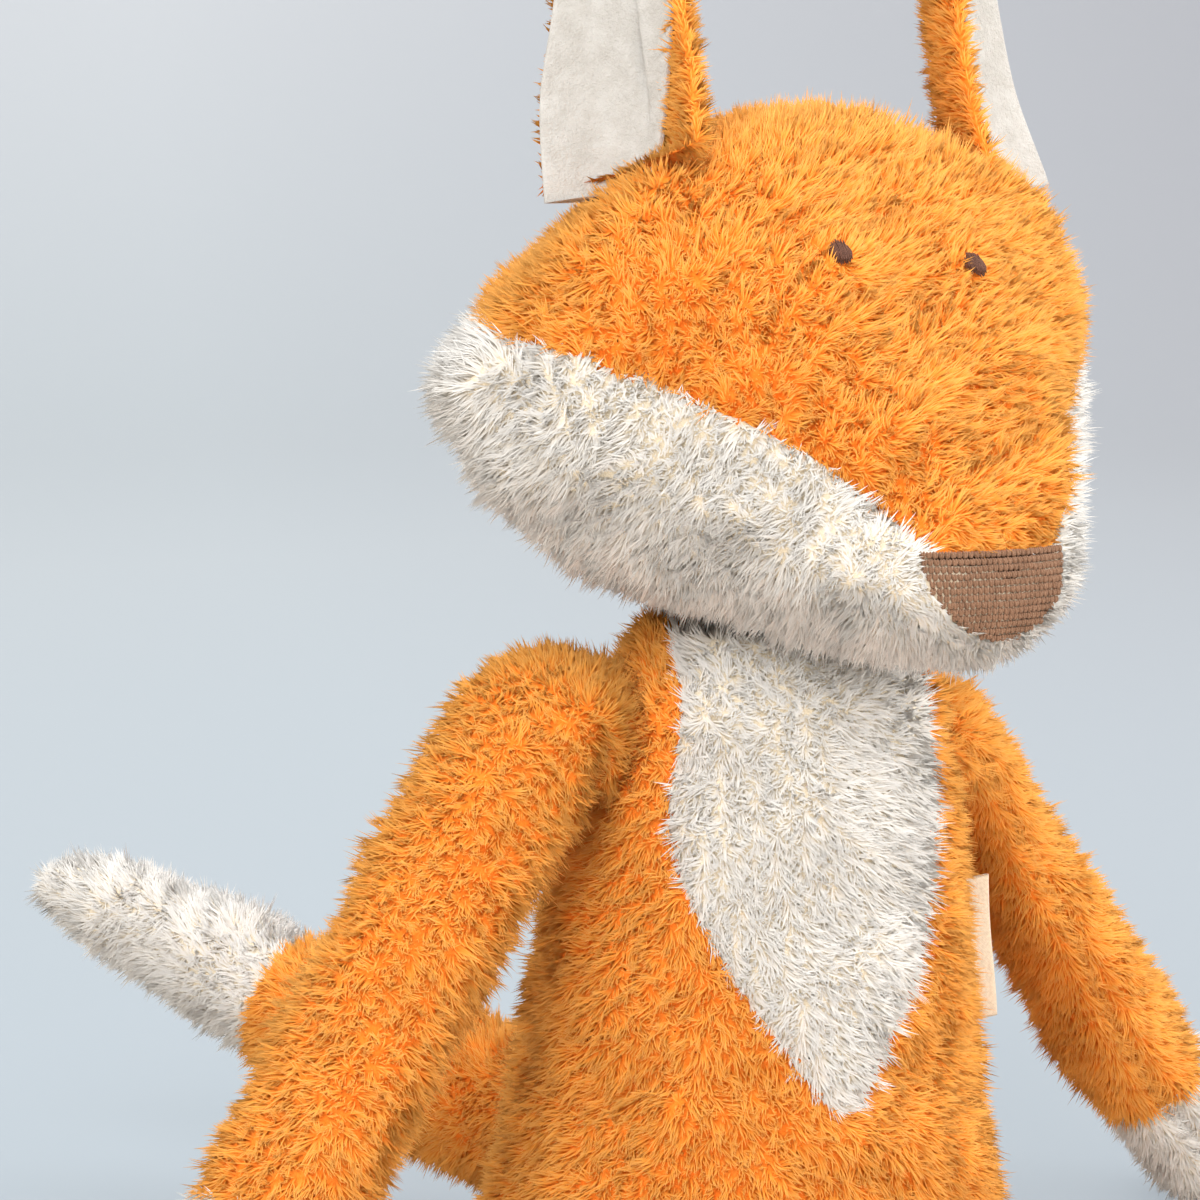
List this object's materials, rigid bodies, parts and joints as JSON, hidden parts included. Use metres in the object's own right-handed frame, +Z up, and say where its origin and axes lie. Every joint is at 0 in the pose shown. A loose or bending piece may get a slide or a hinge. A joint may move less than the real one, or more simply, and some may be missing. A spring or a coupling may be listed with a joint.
{
  "type": "plush fox",
  "caption": "Sitting plush fox with a turning head, floppy ears, swinging stuffed arms and legs, a lifting tail, a white bib and a cloth side label.",
  "frame": {"origin": "middle of the flat seat, on the surface that the toy sits on", "axes": "+Z up, the fox faces -Y, its own left side is +X"},
  "size_m": [0.3312, 0.4044, 0.3701],
  "materials": {
    "orange plush": "deep cotton pile",
    "white plush": "deep cotton pile",
    "lining felt": "short pile",
    "nose cloth": "chunky knit",
    "eye thread": "satin stitch",
    "label cloth": "plain weave",
    "stuffing": "wool fill"
  },
  "bodies": {
    "torso": {"body_cover": "orange plush", "chest_bib": "white plush", "body_stuffing": "stuffing"},
    "head": {"head_upper": "orange plush", "head_lower": "white plush", "head_back": "orange plush", "head_stuffing": "stuffing", "nose": "nose cloth", "right_eye": "eye thread", "left_eye": "eye thread"},
    "right_ear": {"right_ear_outer": "orange plush", "right_ear_lining": "lining felt"},
    "left_ear": {"left_ear_outer": "orange plush", "left_ear_lining": "lining felt"},
    "right_arm": {"right_arm_cover": "orange plush", "right_paw": "white plush", "right_arm_stuffing": "stuffing"},
    "left_arm": {"left_arm_cover": "orange plush", "left_paw": "white plush", "left_arm_stuffing": "stuffing"},
    "right_leg": {"right_leg_cover": "orange plush", "right_foot": "white plush", "right_leg_stuffing": "stuffing"},
    "left_leg": {"left_leg_cover": "orange plush", "left_foot": "white plush", "left_leg_stuffing": "stuffing"},
    "tail": {"tail_cover": "orange plush", "tail_tip": "white plush", "tail_stuffing": "stuffing"},
    "label": {"side_label": "label cloth"}
  },
  "joints": [
    {"name": "head_turn", "type": "hinge", "parent": "torso", "child": "head", "pos_m": [0.0084, -0.0019, 0.172], "axis": [0, 0, 1], "range_deg": [-54, 26], "stiffness_Nm_per_rad": 0.08},
    {"name": "right_ear_bend", "type": "hinge", "parent": "head", "child": "right_ear", "pos_m": [-0.03911, -0.01958, 0.29187], "axis": [0.5501, -0.7491, 0.3693], "range_deg": [-25, 25], "stiffness_Nm_per_rad": 0.02},
    {"name": "left_ear_bend", "type": "hinge", "parent": "head", "child": "left_ear", "pos_m": [0.06664, 0.00679, 0.28806], "axis": [0.5703, 0.6312, -0.5256], "range_deg": [-25, 25], "stiffness_Nm_per_rad": 0.02},
    {"name": "right_arm_swing", "type": "hinge", "parent": "torso", "child": "right_arm", "pos_m": [-0.03803, -0.00139, 0.14724], "axis": [-0.9188, 0, 0.3948], "range_deg": [-60, 45]},
    {"name": "left_arm_swing", "type": "hinge", "parent": "torso", "child": "left_arm", "pos_m": [0.05113, -0.0013, 0.14212], "axis": [0.9782, 0, 0.2078], "range_deg": [-60, 45]},
    {"name": "right_leg_swing", "type": "hinge", "parent": "torso", "child": "right_leg", "pos_m": [-0.04089, -0.0571, 0.01705], "axis": [-0.9659, 0.2588, 0], "range_deg": [-70, 45]},
    {"name": "left_leg_swing", "type": "hinge", "parent": "torso", "child": "left_leg", "pos_m": [0.04105, -0.0571, 0.01705], "axis": [-0.9659, -0.2588, 0], "range_deg": [-70, 45]},
    {"name": "tail_swing", "type": "hinge", "parent": "torso", "child": "tail", "pos_m": [0.00026, 0.05554, 0.02996], "axis": [0, 0.9977, -0.0675], "range_deg": [-40, 40]},
    {"name": "label_flap", "type": "hinge", "parent": "torso", "child": "label", "pos_m": [0.05782, -0.00048, 0.08507], "axis": [-0.0835, -0.0109, 0.9964], "range_deg": [-50, 50], "stiffness_Nm_per_rad": 0.0005}
  ]
}
